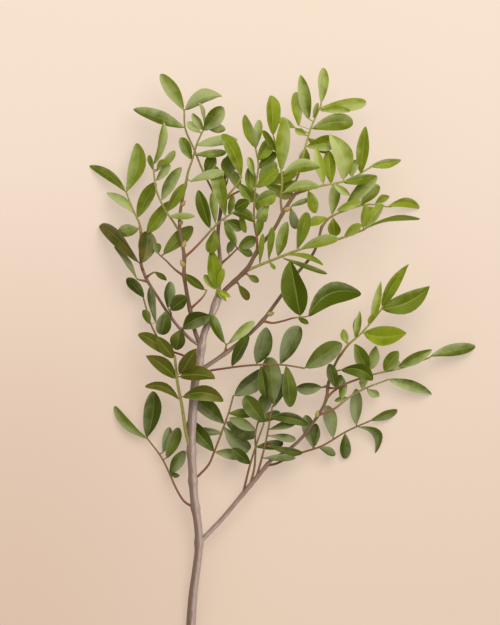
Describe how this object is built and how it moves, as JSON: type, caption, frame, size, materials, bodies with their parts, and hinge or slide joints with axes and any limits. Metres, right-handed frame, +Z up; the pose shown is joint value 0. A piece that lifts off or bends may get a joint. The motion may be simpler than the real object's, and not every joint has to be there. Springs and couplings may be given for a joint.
{
  "type": "pistachio stem",
  "caption": "Cut leafy pistachio stem lying on its side: a woody stem with side branches and feather-shaped leaves of small pointed leaflets.",
  "frame": {"origin": "middle of the stem's outline seen from above, on the surface it lies on", "axes": "+Z up from the surface, +Y along the stem from its cut end to the crown, +X to the right"},
  "size_m": [0.28, 0.4294, 0.0767],
  "materials": {
    "bark": "matte grey-brown bark",
    "young_bark": "smooth reddish brown young bark",
    "leaf_dark": "leathery dark green leaf",
    "leaf_mid": "leathery green leaf",
    "leaf_bright": "young yellow-green leaf"
  },
  "bodies": {
    "root": {"leaf_back_left": "leaf_dark", "leaf_behind_leader": "leaf_dark", "leaf_bright_inner": "leaf_bright", "leaf_bright_upright": "leaf_bright", "leaf_broad_middle": "leaf_mid", "leaf_crossing": "leaf_mid", "leaf_far_right": "leaf_bright", "leaf_front_left": "leaf_mid", "leaf_inner_upright": "leaf_mid", "leaf_left_low": "leaf_dark", "leaf_left_middle": "leaf_dark", "leaf_left_tip": "leaf_mid", "leaf_long_right": "leaf_mid", "leaf_low_centre": "leaf_dark", "leaf_low_inner": "leaf_dark", "leaf_low_left": "leaf_dark", "leaf_low_right": "leaf_dark", "leaf_middle_right": "leaf_dark", "leaf_pair_left": "leaf_dark", "leaf_pair_middle": "leaf_mid", "leaf_pair_right": "leaf_dark", "leaf_right_long": "leaf_mid", "leaf_right_lower": "leaf_mid", "leaf_right_top": "leaf_bright", "leaf_shaded_crown": "leaf_mid", "leaf_small_centre": "leaf_dark", "leaf_small_fork": "leaf_mid", "leaf_small_inner": "leaf_dark", "leaf_top_left": "leaf_mid", "leaf_top_left_tall": "leaf_mid", "leaf_top_right": "leaf_bright", "leaf_upper_left": "leaf_mid", "leaf_upper_right": "leaf_bright", "leaf_upright_centre": "leaf_dark", "leaflet_dark_bud": "leaf_dark", "leaflet_dark_inner": "leaf_dark", "leaflet_fork_lower": "leaf_dark", "leaflet_fork_upper": "leaf_dark", "leaflet_left_edge": "leaf_dark", "leaflet_left_small": "leaf_dark", "leaflet_right_arched": "leaf_mid", "leaflet_right_inner": "leaf_dark", "left_leader": "young_bark", "left_twig": "young_bark", "main_stem": "bark", "middle_branch": "young_bark", "right_branch": "bark", "right_leader": "young_bark", "right_shoot": "young_bark", "upright_shoot": "young_bark", "young_sprouts": "leaf_bright"}
  },
  "joints": []
}
